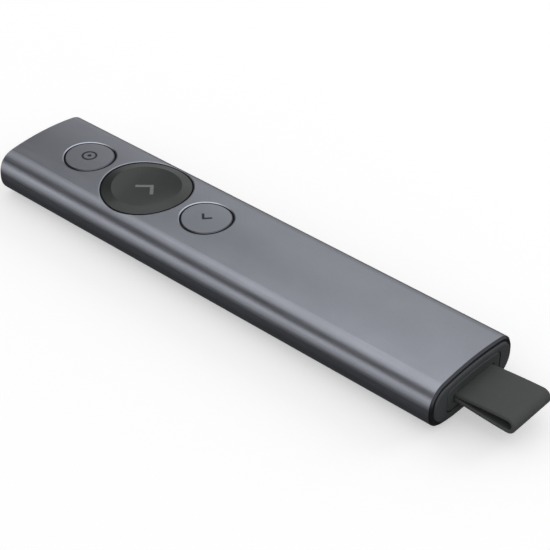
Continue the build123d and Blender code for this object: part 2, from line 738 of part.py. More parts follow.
# ---- Screws -------------------------------------------------------------------------------------
screw_groups = {
    "board_screws": (board_screw_spots, board_top),
    "carrier_screws": (carrier_screw_spots, carrier_screw_seat),
}
for name, (spots, seat) in screw_groups.items():
    with BuildPart() as screws:
        for x, y in spots:
            round_block(screw_diameter / 2, screw_length, x, y, seat - screw_length)
            round_block(screw_head_diameter / 2, screw_head_height, x, y, seat)
    screws.part.label = name
    export_step(screws.part, f"parts/{name}.step")

# ---- Receiver -----------------------------------------------------------------------------------
pin_y = anchor_y + anchor_length / 2
board_spot_y = plug_root_y - receiver_board_length / 2

with BuildPart() as receiver_housing:
    with BuildSketch(across(collar_y)):
        add(receiver_section())
    extrude(amount=collar_y - face_y)
    chamfer(receiver_housing.edges().group_by(Axis.Y)[0], length=receiver_edge)
    with BuildSketch(across(collar_y)):
        add(receiver_section(-receiver_wall))
    extrude(amount=collar_y - face_y - receiver_front, mode=Mode.SUBTRACT)
    for side in (-1, 1):
        rail_x = side * (receiver_width / 2 - receiver_wall - receiver_rail / 2)
        rail_z = receiver_board_z - receiver_rail
        block(receiver_rail, receiver_board_length, receiver_rail, rail_x, board_spot_y, rail_z)
    with BuildSketch(across(face_y + receiver_front)):
        with Locations((0, strap_height)):
            slot_width = strap_width + 2 * strap_slot_gap
            slot_height = 2 * (strap_rounds[0][1] + strap_thickness + strap_slot_gap)
            Rectangle(slot_width, slot_height)
    extrude(amount=receiver_front, mode=Mode.SUBTRACT)
    with BuildSketch(Plane.YZ.offset(-receiver_width)):
        with Locations((pin_y, strap_height)):
            Circle(strap_pin_diameter / 2 + screw_gap)
    extrude(amount=2 * receiver_width, mode=Mode.SUBTRACT)
receiver_housing.part.label = "receiver_housing"
export_step(receiver_housing.part, "parts/receiver_housing.step")

with BuildPart() as collar:
    with BuildSketch(across(receiver_nose_y)):
        add(receiver_section())
    extrude(amount=collar_length)
    hole_width = plug_width + 2 * plug_gap
    hole_height = plug_height + 2 * plug_gap
    with BuildSketch(across(collar_y)):
        add(receiver_section(-receiver_wall - screw_gap))
        with Locations((0, receiver_middle)):
            Rectangle(hole_width, sleeve_height, mode=Mode.SUBTRACT)
    extrude(amount=collar_spigot)
    with BuildSketch(across(receiver_nose_y)):
        with Locations((0, receiver_middle)):
            RectangleRounded(hole_width, hole_height, plug_corner + plug_gap)
    extrude(amount=collar_length, mode=Mode.SUBTRACT)
collar.part.label = "receiver_collar"
export_step(collar.part, "parts/receiver_collar.step")

with BuildPart() as plug_shell:
    with BuildSketch(across(plug_tip_y)):
        with Locations((0, receiver_middle)):
            RectangleRounded(plug_width, plug_height, plug_corner)
            inner_width = plug_width - 2 * plug_wall
            inner_height = plug_height - 2 * plug_wall
            RectangleRounded(inner_width, inner_height, plug_corner - plug_wall, mode=Mode.SUBTRACT)
    extrude(amount=plug_reach + collar_length)
    window_width, window_length = plug_window
    for side in (-1, 1):
        window_x = side * plug_window_x
        window_y = plug_tip_y - plug_window_from_tip
        block(window_width, window_length, sleeve_height, window_x, window_y, 0, mode=Mode.SUBTRACT)
plug_shell.part.label = "usb_plug_shell"
export_step(plug_shell.part, "parts/usb_plug_shell.step")

tongue_length = plug_reach + plug_root - tongue_setback
tongue_middle_y = plug_root_y + tongue_length / 2
with BuildPart() as plug_tongue:
    tongue_width = plug_width - 2 * (plug_wall + tongue_gap)
    block(tongue_width, tongue_length, tongue_height, 0, tongue_middle_y, tongue_base_z)
    lower_edges = plug_tongue.edges().filter_by(Axis.Y).group_by(Axis.Z)[0]
    chamfer(lower_edges, length=plug_corner - plug_wall)
plug_tongue.part.label = "usb_plug_tongue"
export_step(plug_tongue.part, "parts/usb_plug_tongue.step")

with BuildPart() as plug_contacts:
    contact_y = plug_tip_y - tongue_setback - contact_setback - contact_length / 2
    for x in contact_xs:
        block(contact_width, contact_length, contact_height, x, contact_y, tongue_base_z + tongue_height)
plug_contacts.part.label = "usb_plug_contacts"
export_step(plug_contacts.part, "parts/usb_plug_contacts.step")

with BuildPart() as receiver_board:
    block(
        receiver_board_width, receiver_board_length, receiver_board_thickness, 0, board_spot_y,
        receiver_board_z,
    )
receiver_board.part.label = "receiver_board"
export_step(receiver_board.part, "parts/receiver_board.step")

with BuildPart() as receiver_chip:
    chip_z = receiver_board_z + receiver_board_thickness
    block(*receiver_chip_size, 0, board_spot_y, chip_z)
    chamfer(receiver_chip.faces().sort_by(Axis.Z)[-1].edges(), length=chip_break)
receiver_chip.part.label = "receiver_chip"
export_step(receiver_chip.part, "parts/receiver_chip.step")

# ---- Pull strap: a flat rubber band folded back on itself, with its two ends in one anchor ------
neck_beyond, neck_slit = strap_rounds[0]
neck_y = face_y - neck_beyond
neck_height = 2 * (neck_slit + strap_thickness)
with BuildPart() as strap:
    with BuildSketch(Plane.YZ.offset(-strap_width / 2)):
        for beyond, radius in strap_rounds:
            with Locations((face_y - beyond, strap_height)):
                Circle(radius + strap_thickness)
        make_hull()
        with Locations(((neck_y + anchor_y) / 2, strap_height)):
            Rectangle(anchor_y - neck_y, neck_height)
        with Locations((anchor_y + anchor_length / 2, strap_height)):
            RectangleRounded(anchor_length, anchor_height, strap_thickness / 2)
            Circle(strap_pin_diameter / 2 + screw_gap, mode=Mode.SUBTRACT)
    extrude(amount=strap_width)
    with BuildSketch(Plane.YZ.offset(-strap_width / 2)):
        for beyond, radius in strap_rounds:
            with Locations((face_y - beyond, strap_height)):
                Circle(radius)
        make_hull()
    extrude(amount=strap_width, mode=Mode.SUBTRACT)
strap.part.label = "pull_strap"
export_step(strap.part, "parts/pull_strap.step")

with BuildPart() as strap_pin:
    pin_half = receiver_width / 2 - strap_pin_setback
    with BuildSketch(Plane.YZ.offset(-pin_half)):
        with Locations((pin_y, strap_height)):
            Circle(strap_pin_diameter / 2)
    extrude(amount=2 * pin_half)
strap_pin.part.label = "strap_pin"
export_step(strap_pin.part, "parts/strap_pin.step")
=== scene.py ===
import math

import bmesh
import bpy
from mathutils import Euler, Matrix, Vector
from mathutils.bvhtree import BVHTree


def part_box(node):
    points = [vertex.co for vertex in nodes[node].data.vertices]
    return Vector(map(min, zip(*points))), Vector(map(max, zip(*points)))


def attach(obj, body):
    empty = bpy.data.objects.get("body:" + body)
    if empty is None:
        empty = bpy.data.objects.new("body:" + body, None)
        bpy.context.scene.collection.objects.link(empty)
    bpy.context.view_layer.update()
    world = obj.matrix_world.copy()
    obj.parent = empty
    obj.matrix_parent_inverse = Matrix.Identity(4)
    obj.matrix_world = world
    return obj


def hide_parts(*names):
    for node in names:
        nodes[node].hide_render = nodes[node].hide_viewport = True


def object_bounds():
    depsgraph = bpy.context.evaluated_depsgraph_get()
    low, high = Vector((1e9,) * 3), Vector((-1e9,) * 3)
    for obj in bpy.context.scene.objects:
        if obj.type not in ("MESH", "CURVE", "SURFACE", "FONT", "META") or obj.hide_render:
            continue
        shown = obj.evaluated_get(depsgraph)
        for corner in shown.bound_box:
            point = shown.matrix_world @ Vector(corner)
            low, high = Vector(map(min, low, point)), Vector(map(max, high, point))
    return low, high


# The looks of a slim presentation remote. Metres, in the frame of the CAD: +Y is the nose, +X the
# right-hand side, +Z up, and the remote rests on z = 0.
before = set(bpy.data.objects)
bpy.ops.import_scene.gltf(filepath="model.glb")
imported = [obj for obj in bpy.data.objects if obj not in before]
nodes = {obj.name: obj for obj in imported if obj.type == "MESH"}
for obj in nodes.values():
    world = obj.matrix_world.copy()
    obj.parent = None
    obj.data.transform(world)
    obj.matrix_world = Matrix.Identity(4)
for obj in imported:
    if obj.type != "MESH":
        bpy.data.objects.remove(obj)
cad_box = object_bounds()
MM = 0.001


# ---- Camera -------------------------------------------------------------------------------------
CAMERA_PLACE = (-0.21698, -0.20479, 0.22324)
CAMERA_TURN = (53.2395, -0.0853, -48.2427)    # degrees about X, Y and Z
CAMERA_LENS = 106.637                         # mm
CAMERA_SENSOR = 36.0                          # mm
CAMERA_NEAREST = 0.01


def make_camera():
    """The photograph's point of view."""
    camera = bpy.data.objects.new("camera", bpy.data.cameras.new("camera"))
    camera.location = CAMERA_PLACE
    camera.rotation_euler = Euler([math.radians(angle) for angle in CAMERA_TURN])
    camera.data.lens = CAMERA_LENS
    camera.data.sensor_width = CAMERA_SENSOR
    camera.data.clip_start = CAMERA_NEAREST
    bpy.context.scene.collection.objects.link(camera)
    bpy.context.scene.camera = camera


# ---- Shader nodes -------------------------------------------------------------------------------
MASK_LOW = 0.3                     # a pattern or mask works across this range,
MASK_HIGH = 0.7                    # which is about what noise fills


def add_node(tree, kind, inputs=(), **settings):
    """A node with its settings and inputs. An input is a value, or the socket that feeds it."""
    made = tree.nodes.new(kind)
    for setting, value in settings.items():
        setattr(made, setting, value)
    for socket, value in dict(inputs).items():
        if isinstance(value, bpy.types.NodeSocket):
            tree.links.new(value, made.inputs[socket])
        else:
            made.inputs[socket].default_value = value
    return made


def bare_material(name):
    """A material with no nodes yet, and its node tree."""
    material = bpy.data.materials.new(name)
    material.use_nodes = True
    material.node_tree.nodes.clear()
    return material, material.node_tree


def seen_rays(tree):
    """1 on rays from the camera, in reflections and through glass, and 0 on all others."""
    path = add_node(tree, "ShaderNodeLightPath").outputs
    pair = {0: path["Is Camera Ray"], 1: path["Is Glossy Ray"]}
    either = add_node(tree, "ShaderNodeMath", pair, operation="MAXIMUM").outputs[0]
    pair = {0: either, 1: path["Is Transmission Ray"]}
    return add_node(tree, "ShaderNodeMath", pair, operation="MAXIMUM").outputs[0]


class Finish:
    """A Principled material under construction. Its patterns are placed in the part's own metres."""

    def __init__(self, name, colour, roughness, metallic=0.0, **sockets):
        self.material = bpy.data.materials.new(name)
        self.material.use_nodes = True
        self.tree = self.material.node_tree
        self.shader = self.tree.nodes["Principled BSDF"]
        self.colour = colour
        self.shader.inputs["Base Color"].default_value = (*colour, 1.0)
        self.shader.inputs["Roughness"].default_value = roughness
        self.shader.inputs["Metallic"].default_value = metallic
        for socket, value in sockets.items():
            self.shader.inputs[socket.replace("_", " ")].default_value = value
        self.place = self.tree.nodes.new("ShaderNodeTexCoord").outputs["Object"]
        self.normal = None

    def number_math(self, operation, *values):
        """The outcome of an operation on numbers."""
        return add_node(self.tree, "ShaderNodeMath", enumerate(values), operation=operation).outputs[0]

    def vector_math(self, operation, *values):
        """The outcome of an operation on vectors, which is a number for some of them."""
        made = add_node(self.tree, "ShaderNodeVectorMath", enumerate(values), operation=operation)
        return made.outputs["Value" if operation in ("DISTANCE", "DOT_PRODUCT") else "Vector"]

    def coordinate(self, axis):
        """The part's own X, Y or Z."""
        return add_node(self.tree, "ShaderNodeSeparateXYZ", {"Vector": self.place}).outputs[axis]

    def noise(self, size, stretch=(1, 1, 1), detail=3.0):
        """Noise whose grains are about size metres across, drawn out along each axis by stretch."""
        scale = [1 / (size * along) for along in stretch]
        mapped = add_node(self.tree, "ShaderNodeMapping", {"Vector": self.place, "Scale": scale})
        inputs = {"Vector": mapped.outputs[0], "Scale": 1.0, "Detail": detail}
        return add_node(self.tree, "ShaderNodeTexNoise", inputs).outputs["Fac"]

    def remap(self, value, low, high, to_low, to_high):
        """Run from to_low to to_high as value runs from low to high, and no further."""
        inputs = {"Value": value, "From Min": low, "From Max": high, "To Min": to_low, "To Max": to_high}
        return add_node(self.tree, "ShaderNodeMapRange", inputs).outputs["Result"]

    def mask(self, value, low, high):
        """A mask that rises as value goes from low to high."""
        return self.remap(value, low, high, MASK_LOW, MASK_HIGH)

    def spread(self, mask, low, high):
        """Run from low to high across a mask or a pattern."""
        return self.remap(mask, MASK_LOW, MASK_HIGH, low, high)

    def tint(self, mask, low, high):
        """Multiply the base colour by a factor that runs from low to high across a mask or a pattern."""
        target = self.shader.inputs["Base Color"]
        source = target.links[0].from_socket if target.is_linked else self.colour
        inputs = {0: source, "Scale": self.spread(mask, low, high)}
        scaled = add_node(self.tree, "ShaderNodeVectorMath", inputs, operation="SCALE")
        self.tree.links.new(scaled.outputs[0], target)

    def roughen(self, mask, low, high):
        """Let the roughness run from low to high across a mask or a pattern."""
        self.tree.links.new(self.spread(mask, low, high), self.shader.inputs["Roughness"])

    def emboss(self, pattern, depth):
        """Raise the surface by depth metres where the pattern is 1."""
        inputs = {"Height": pattern, "Distance": depth, "Strength": 1.0}
        if self.normal is not None:
            inputs["Normal"] = self.normal
        self.normal = add_node(self.tree, "ShaderNodeBump", inputs).outputs["Normal"]
        self.tree.links.new(self.normal, self.shader.inputs["Normal"])


# ---- Finishes -----------------------------------------------------------------------------------
SHADED_CHAMFER_DEPTH = 0.48 * MM          # how far the painted shade on the tail's chamfer reaches in from the tail
SHADED_CHAMFER_FADE = 0.04 * MM
CHAMFER_SHADE_TINT = 0.28
BUTTON_GAP = 0.3 * MM              # between a cap and its hole
BEVEL_WIDTH = 0.35 * MM            # of the bevels round the small buttons' holes, which carry a painted highlight and painted shade
PAINTED_HIGHLIGHT_WAY = (0.407, 0.914, 0)    # towards the side of each bevel that gets the painted highlight
PAINTED_HIGHLIGHT_SPAN = (0.35, 0.75)         # cosines to that way, where the painted highlight begins and is full
PAINTED_SHADE_SPAN = (0.35, 0.0)            # and where the painted shade on the other side begins and is full
# how much the painted highlight lightens and the painted shade darkens each bevel
PAINTED_HIGHLIGHT_TINT = 1.5
PAINTED_SHADE_TINT = 0.45
CAP_EDGE_WIDTH = 0.22 * MM         # of the painted shade on the small caps' rounded edge, where the gap's shadow falls
CAP_EDGE_SHADE_TINT = 0.4
BAND_FADE = 0.02 * MM
RING_DEPTH = 1 * MM                # below a cap's crest, down to where the masks of its edge reach


def band(finish, reach, middle, width):
    """A mask that is high where reach is within a band about middle and low elsewhere."""
    distance = finish.number_math("ABSOLUTE", finish.number_math("SUBTRACT", reach, middle))
    return finish.mask(distance, width / 2, width / 2 - BAND_FADE)


def button_rings(finish, button):
    """Masks of a button's edge: painted shade on the cap's rounded edge, and the bevel's painted
    highlight and painted shade.
    """
    low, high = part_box(button + "_cap")
    middle = ((low.x + high.x) / 2, (low.y + high.y) / 2, 0)
    cap_radius = (high.y - low.y) / 2
    level = finish.vector_math("MULTIPLY", finish.place, (1, 1, 0))
    reach = finish.vector_math("DISTANCE", level, middle)
    way = finish.vector_math("NORMALIZE", finish.vector_math("SUBTRACT", level, middle))
    highlight_facing = finish.vector_math("DOT_PRODUCT", way, PAINTED_HIGHLIGHT_WAY)
    top = finish.number_math("GREATER_THAN", finish.coordinate("Z"), high.z - RING_DEPTH)
    # Painted shade on the cap's rounded edge, where the gap's shadow falls.
    edge_shade = band(finish, reach, cap_radius - CAP_EDGE_WIDTH / 2, CAP_EDGE_WIDTH)
    bevel = band(finish, reach, cap_radius + BUTTON_GAP + BEVEL_WIDTH / 2, BEVEL_WIDTH)
    bevel_top = finish.number_math("MULTIPLY", bevel, top)
    edge_shade_top = finish.number_math("MULTIPLY", edge_shade, top)
    bevel_highlight = finish.number_math("MULTIPLY", bevel_top, finish.remap(highlight_facing, *PAINTED_HIGHLIGHT_SPAN, 0, 1))
    bevel_shade = finish.number_math("MULTIPLY", bevel_top, finish.remap(highlight_facing, *PAINTED_SHADE_SPAN, 0, 1))
    return edge_shade_top, bevel_highlight, bevel_shade


def anodised(name, colour):
    """Bead-blasted, anodised aluminium: fine grain, faint draw marks along the remote, soft mottling,
    with painted shade on the tail's chamfer and the small caps' edges and a painted highlight and
    painted shade on the bevels round their holes.
    """
    finish = Finish(name, colour, 0.34, metallic=1.0)
    grain = finish.noise(0.14 * MM, detail=2.0)
    draw = finish.noise(0.22 * MM, stretch=(1, 60, 1))
    mottle = finish.noise(9 * MM)
    finish.tint(grain, 0.94, 1.06)
    finish.tint(mottle, 0.97, 1.03)
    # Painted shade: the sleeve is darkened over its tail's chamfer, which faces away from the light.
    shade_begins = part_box("housing_sleeve")[0].y + SHADED_CHAMFER_DEPTH
    beyond_shade = finish.mask(finish.coordinate("Y"), shade_begins - SHADED_CHAMFER_FADE / 2, shade_begins + SHADED_CHAMFER_FADE / 2)
    finish.tint(beyond_shade, CHAMFER_SHADE_TINT, 1.0)
    for button in ("pointer", "back"):
        # Painted shade on each small cap's edge, and on each bevel a painted highlight on one side and
        # painted shade on the other.
        edge_shade, bevel_highlight, bevel_shade = button_rings(finish, button)
        finish.tint(edge_shade, 1.0, CAP_EDGE_SHADE_TINT)
        finish.tint(bevel_highlight, 1.0, PAINTED_HIGHLIGHT_TINT)
        finish.tint(bevel_shade, 1.0, PAINTED_SHADE_TINT)
    finish.roughen(draw, 0.30, 0.38)
    finish.emboss(grain, 0.002 * MM)
    finish.emboss(draw, 0.0015 * MM)
    return finish.material


def moulded(name, colour, roughness, grain_size=0.18 * MM, grain_depth=0.006 * MM, **sockets):
    """Moulded plastic or rubber: the mould's eroded grain, and slightly uneven colour and gloss."""
    finish = Finish(name, colour, roughness, **sockets)
    grain = finish.noise(grain_size, detail=2.0)
    cloud = finish.noise(5 * MM)
    finish.tint(grain, 0.9, 1.1)
    finish.tint(cloud, 0.94, 1.06)
    finish.roughen(cloud, roughness - 0.05, roughness + 0.05)
    finish.emboss(grain, grain_depth)
    return finish.material


def metal(name, colour, roughness, stretch=(1, 14, 1)):
    """Rolled or turned metal: fine lines with a little tarnish."""
    finish = Finish(name, colour, roughness, metallic=1.0)
    lines = finish.noise(0.12 * MM, stretch=stretch)
    tarnish = finish.noise(1.6 * MM)
    finish.tint(tarnish, 0.88, 1.05)
    finish.roughen(lines, roughness - 0.06, roughness + 0.08)
    finish.emboss(lines, 0.0002 * MM)
    return finish.material


def circuit(name, colour, roughness):
    """Solder mask over copper: faint lighter tracks and a glossy, slightly rippled coat."""
    finish = Finish(name, colour, roughness, Coat_Weight=0.4, Coat_Roughness=0.15)
    inputs = {"Vector": finish.place, "Scale": 420.0, "Mortar Size": 0.03}
    tracks = add_node(finish.tree, "ShaderNodeTexBrick", inputs).outputs["Fac"]
    weave = finish.noise(0.3 * MM)
    finish.tint(tracks, 1.0, 1.5)
    finish.tint(weave, 0.9, 1.1)
    finish.emboss(tracks, 0.02 * MM)
    return finish.material


CAP_COAT = {"Coat_Weight": 0.4, "Coat_Roughness": 0.14}

# The slots of the record: what makes each one, its colour and its other settings.
MATERIALS = {
    "anodised_grey": (anodised, (0.392, 0.407, 0.459), {}),
    "dark_cap": (moulded, (0.019, 0.0235, 0.022), {"roughness": 0.32, **CAP_COAT}),
    "dark_plastic": (moulded, (0.057, 0.063, 0.067), {"roughness": 0.45}),
    "receiver_plastic": (moulded, (0.055, 0.063, 0.062), {"roughness": 0.42}),
    "inner_plastic": (moulded, (0.020, 0.020, 0.022), {"roughness": 0.55}),
    "spring_steel": (metal, (0.55, 0.55, 0.56), {"roughness": 0.28}),
    "board_green": (circuit, (0.015, 0.10, 0.05), {"roughness": 0.3}),
    "chip_black": (moulded, (0.018, 0.018, 0.020), {"roughness": 0.5}),
    "ceramic_white": (moulded, (0.72, 0.73, 0.71), {"roughness": 0.25, "grain_depth": 0.001 * MM}),
    "battery_wrap": (metal, (0.35, 0.37, 0.40), {"roughness": 0.35, "stretch": (1, 3, 1)}),
    "foam_pad": (
        moulded,
        (0.60, 0.60, 0.56),
        {"roughness": 0.9, "grain_size": 0.3 * MM, "grain_depth": 0.05 * MM},
    ),
    "plated_steel": (metal, (0.62, 0.62, 0.63), {"roughness": 0.25}),
    "tongue_plastic": (moulded, (0.68, 0.68, 0.66), {"roughness": 0.45}),
    "contact_gold": (metal, (0.80, 0.60, 0.25), {"roughness": 0.22}),
    "switch_black": (moulded, (0.025, 0.025, 0.026), {"roughness": 0.5}),
    "stem_white": (moulded, (0.72, 0.72, 0.70), {"roughness": 0.45}),
    "screw_steel": (metal, (0.42, 0.42, 0.44), {"roughness": 0.3, "stretch": (1, 1, 1)}),
    "strap_rubber": (moulded, (0.070, 0.074, 0.073), {"roughness": 0.62, "grain_depth": 0.012 * MM}),
}


def dress_nodes():
    """Give every CAD node the finish of the slot that its record names."""
    made = {}
    for slot, (build, colour, options) in MATERIALS.items():
        made[slot] = build(slot, colour, **options)
    for node in nodes.values():
        for place in node.material_slots:
            place.material = made[place.material.name.split(".")[0]]
    return made


# ---- Stage --------------------------------------------------------------------------------------
FLOOR_SIZE = 6
FLOOR_DROP = 0.01 * MM             # below the remote
FLOOR_COLOUR = (0.86, 0.86, 0.86, 1)
FLOOR_LIFT = 0.42                  # glow added to the floor where it is seen, up to white
AMBIENT = 0.62                     # the world's soft light
SOFTBOX_WAY = (0.85, -0.35, 0.55)  # from the remote to the lamp
SOFTBOX_DISTANCE = 1.8
SOFTBOX_SIZE = 0.7
SOFTBOX_STRENGTH = 2.2             # how bright the lamp looks, where 1 is white


def make_floor():
    """A white floor that keeps the remote's soft shadow."""
    bpy.ops.mesh.primitive_plane_add(size=FLOOR_SIZE, location=(0, 0, -FLOOR_DROP))
    floor = bpy.context.object
    floor.name = "floor"
    material, tree = bare_material("floor_white")
    shade = add_node(tree, "ShaderNodeBsdfDiffuse", {"Color": FLOOR_COLOUR})
    glow = add_node(tree, "ShaderNodeMath", {0: seen_rays(tree), 1: FLOOR_LIFT}, operation="MULTIPLY")
    lift = add_node(tree, "ShaderNodeEmission", {"Strength": glow.outputs[0]})
    both = add_node(tree, "ShaderNodeAddShader", {0: shade.outputs[0], 1: lift.outputs[0]})
    add_node(tree, "ShaderNodeOutputMaterial", {"Surface": both.outputs[0]})
    floor.data.materials.append(material)


def make_world():
    """White to the camera and in reflections, and a level of soft light for everything else."""
    world = bpy.data.worlds.new("studio")
    bpy.context.scene.world = world
    world.use_nodes = True
    tree = world.node_tree
    background = tree.nodes["Background"]
    background.inputs["Color"].default_value = (1, 1, 1, 1)
    inputs = {"Value": seen_rays(tree), "To Min": AMBIENT, "To Max": 1.0}
    level = add_node(tree, "ShaderNodeMapRange", inputs)
    tree.links.new(level.outputs["Result"], background.inputs["Strength"])


def make_softbox():
    """A square lamp that faces the remote and doesn't show in it."""
    light = bpy.data.lights.new("key_softbox", "AREA")
    light.shape = "SQUARE"
    light.size = SOFTBOX_SIZE
    light.energy = SOFTBOX_STRENGTH * math.pi * SOFTBOX_SIZE ** 2
    lamp = bpy.data.objects.new("key_softbox", light)
    way = Vector(SOFTBOX_WAY)
    lamp.location = way.normalized() * SOFTBOX_DISTANCE
    lamp.rotation_euler = (-way).to_track_quat("-Z", "Y").to_euler()
    lamp.visible_glossy = False
    bpy.context.scene.collection.objects.link(lamp)


# ---- Meshes -------------------------------------------------------------------------------------
def joined_sections(count, size, closed):
    """Faces along a row of sections with size points each. A closed row joins its last to its first."""
    faces = []
    for row in range(count if closed else count - 1):
        here = row * size
        onward = (row + 1) % count * size
        for step in range(size):
            beside = (step + 1) % size
            faces.append((here + step, here + beside, onward + beside, onward + step))
    return faces


def surface_of(node):
    """The surface of a CAD node, to be found by rays."""
    mesh = nodes[node].data
    places = [vertex.co.copy() for vertex in mesh.vertices]
    return BVHTree.FromPolygons(places, [tuple(face.vertices) for face in mesh.polygons])


def height_below(surface, x, y, above):
    """Where the line straight down from a height meets a surface."""
    return surface.ray_cast(Vector((x, y, above)), Vector((0, 0, -1)))[0].z


def new_piece(name, vertices, faces, material, body, smooth):
    """A mesh object in the part's frame that rides on a body and takes its finish from a slot."""
    mesh = bpy.data.meshes.new(name)
    mesh.from_pydata(vertices, [], faces)
    mesh.validate()
    shape = bmesh.new()
    shape.from_mesh(mesh)
    bmesh.ops.recalc_face_normals(shape, faces=shape.faces)
    shape.to_mesh(mesh)
    shape.free()
    if smooth:
        mesh.shade_smooth()
    else:
        mesh.shade_flat()
    mesh.materials.append(material)
    piece = bpy.data.objects.new(name, mesh)
    bpy.context.scene.collection.objects.link(piece)
    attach(piece, body)
    return piece


# ---- Pull strap: one closed rubber belt, round the receiver's pin and folded at its free end ----
STRAP_WIDTH = 12.8 * MM
STRAP_THICKNESS = 0.97 * MM
STRAP_EDGE_RADIUS = 0.30 * MM
STRAP_FREE_LENGTH = 12.7 * MM      # from the receiver's face to the middle of the fold
STRAP_NECK_SLIT = 0.03 * MM        # half the gap between the layers, where they leave the face
STRAP_FOLD_SLIT = 0.97 * MM        # and at the fold
STRAP_PIN_GAP = 0.02 * MM
STRAP_NECK_DEPTH = 1.6 * MM        # inside the receiver's face, where the layers part round the pin
STRAP_MOUTH_DEPTH = 0.15 * MM      # inside the face, where they begin to open towards the fold
STRAP_BULGE = 0.55                 # how much sooner a layer opens than along a straight taper
STRAP_LAYER_STEPS = 30
STRAP_TURN_STEPS = 22
STRAP_CORNER_STEPS = 5


def strap_line():
    """The belt's middle line as (y, z) points, once round: lower layer, fold, upper layer, pin."""
    pin_low, pin_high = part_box("strap_pin")
    pin_y = (pin_low.y + pin_high.y) / 2
    strap_z = (pin_low.z + pin_high.z) / 2
    pin_turn = (pin_high.z - pin_low.z) / 2 + STRAP_PIN_GAP + STRAP_THICKNESS / 2
    face_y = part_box("receiver_housing")[0].y
    fold_y = face_y - STRAP_FREE_LENGTH
    fold_turn = STRAP_FOLD_SLIT + STRAP_THICKNESS / 2
    neck_turn = STRAP_NECK_SLIT + STRAP_THICKNESS / 2
    neck_y = face_y + STRAP_NECK_DEPTH
    mouth_y = face_y + STRAP_MOUTH_DEPTH
    # The layers leave the pin's turn on the straight line that touches it and runs to the neck.
    neck_reach = math.hypot(pin_y - neck_y, neck_turn)
    wrap = math.asin(pin_turn / neck_reach) - math.atan2(neck_turn, pin_y - neck_y)

    def layer(side):
        """From the pin out to the fold along one layer."""
        points = [(pin_y - pin_turn * math.sin(wrap), pin_turn * math.cos(wrap)), (neck_y, neck_turn)]
        for step in range(STRAP_LAYER_STEPS + 1):
            share = step / STRAP_LAYER_STEPS
            lift = (1 - STRAP_BULGE) * share + STRAP_BULGE * math.sin(share * math.pi / 2)
            y = mouth_y + (fold_y - mouth_y) * share
            points.append((y, neck_turn + (fold_turn - neck_turn) * lift))
        return [(y, strap_z + side * reach) for y, reach in points]

    def turn(middle_y, radius, outward, extra):
        """The bow from the lower layer to the upper: half a circle, and extra radians at each end."""
        sweep = math.pi + 2 * extra
        points = []
        for step in range(1, STRAP_TURN_STEPS):
            angle = sweep * step / STRAP_TURN_STEPS - extra
            y = middle_y + outward * radius * math.sin(angle)
            points.append((y, strap_z - radius * math.cos(angle)))
        return points

    fold = turn(fold_y, fold_turn, -1, 0)
    pin = turn(pin_y, pin_turn, 1, wrap)
    return layer(-1) + fold + layer(1)[::-1] + pin[::-1]


def rounded_bar(half_width, half_height, radius, steps):
    """The outline of a bar with round corners, as (across, out) points."""
    outline = []
    for corner, (side, top) in enumerate(((1, 1), (-1, 1), (-1, -1), (1, -1))):
        for step in range(steps + 1):
            angle = math.pi / 2 * (corner + step / steps)
            across = side * (half_width - radius) + radius * math.cos(angle)
            outline.append((across, top * (half_height - radius) + radius * math.sin(angle)))
    return outline


def make_strap(material):
    """Carry the belt's section round its middle line."""
    section = rounded_bar(STRAP_WIDTH / 2, STRAP_THICKNESS / 2, STRAP_EDGE_RADIUS, STRAP_CORNER_STEPS)
    line = strap_line()
    vertices = []
    for index, (y, z) in enumerate(line):
        before = line[index - 1]
        after = line[(index + 1) % len(line)]
        along = Vector((after[0] - before[0], after[1] - before[1])).normalized()
        for across, out in section:
            vertices.append((across, y - along.y * out, z + along.x * out))
    faces = joined_sections(len(line), len(section), True)
    strap = new_piece("strap_band", vertices, faces, material, "receiver", True)
    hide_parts("pull_strap")


# ---- Icons on the buttons -----------------------------------------------------------------------
ICON_RISE = 0.012 * MM             # ink above the cap
ICON_ROOT = 0.02 * MM              # and carried on below its surface
STROKE_OFFSETS = (0.5, 0.0, -0.5)  # points across a stroke, in strokes from its middle line
CHEVRON_STEPS = 10
NEXT_CHEVRON = ((-1.21 * MM, 31.24 * MM), (1.40 * MM, 28.40 * MM), (-1.26 * MM, 25.89 * MM))
NEXT_STROKE = 0.85 * MM
BACK_CHEVRON = ((0.59 * MM, 11.04 * MM), (-0.81 * MM, 9.61 * MM), (0.70 * MM, 8.22 * MM))
BACK_STROKE = 0.60 * MM
TARGET_MIDDLE = (0.1 * MM, 48.3 * MM)
TARGET_RING = (1.66 * MM, 0.52 * MM, 48)      # radius, stroke and steps
TARGET_DOT = (0.26 * MM, 0.50 * MM, 24)


def drape(name, columns, closed, cap, material):
    """Lay a ribbon on a cap: columns are rows of (x, y) points across it, which drop onto the cap."""
    surface = surface_of(cap)
    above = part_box(cap)[1].z + MM
    vertices = []
    for column in columns:
        heights = [height_below(surface, x, y, above) for x, y in column]
        vertices += [(x, y, z + ICON_RISE) for (x, y), z in zip(column, heights)]
        vertices.append((*column[-1], heights[-1] - ICON_ROOT))
        vertices.append((*column[0], heights[0] - ICON_ROOT))
    size = len(columns[0]) + 2
    faces = joined_sections(len(columns), size, closed)
    if not closed:
        faces.append(tuple(range(size)))
        faces.append(tuple(range(len(vertices) - size, len(vertices))))
    body = cap.replace("_cap", "_button")
    new_piece(name, vertices, faces, material, body, False)


